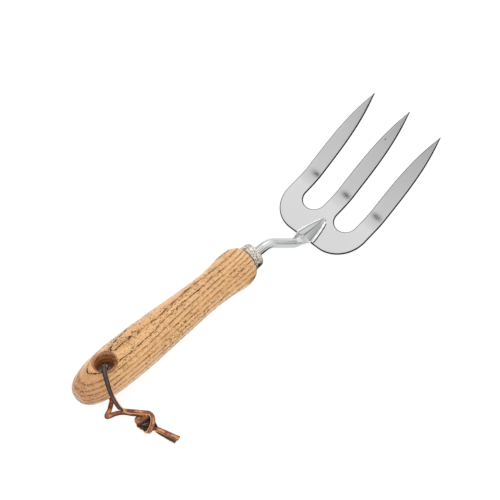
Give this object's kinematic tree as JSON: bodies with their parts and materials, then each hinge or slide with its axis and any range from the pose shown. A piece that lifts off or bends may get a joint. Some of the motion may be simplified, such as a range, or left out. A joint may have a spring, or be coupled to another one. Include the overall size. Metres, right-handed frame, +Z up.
{
  "type": "hand weeding fork",
  "caption": "Hand fork with a pressed steel tined head welded to a cranked stem, a turned wooden handle and a leather hanging thong.",
  "frame": {"origin": "centre of the small flat on the butt of the handle", "axes": "+Z up with the fork lying on a bench on its handle and on the rear edge of its head; +Y from the butt towards the tines; +X to the right seen from the butt"},
  "size_m": [0.1019, 0.3221, 0.0577],
  "materials": {
    "ash_wood": "turned and varnished open-pored ash, dark broken grain lines along the handle",
    "ferrule_steel": "dull warm-grey steel with fine speckles",
    "pin_steel": "dark unpolished steel",
    "forged_steel": "polished round rod with a forged, ridged end",
    "satin_steel": "satin-polished stainless sheet",
    "weld_steel": "bright, slightly uneven weld metal",
    "thong_leather": "orange-brown leather lace with a dark flesh side"
  },
  "bodies": {
    "fork": {"handle": "ash_wood", "ferrule": "ferrule_steel", "ferrule_pin": "pin_steel", "stem": "forged_steel", "fork_head": "satin_steel", "weld_bead_left": "weld_steel", "weld_bead_right": "weld_steel"},
    "thong": {"hanging_thong": "thong_leather"}
  },
  "joints": [
    {"name": "thong_swing", "type": "hinge", "parent": "fork", "child": "thong", "pos_m": [0, 0.02474, 0.00164], "axis": [0, 0, 1], "range_deg": [-195, 60]}
  ]
}
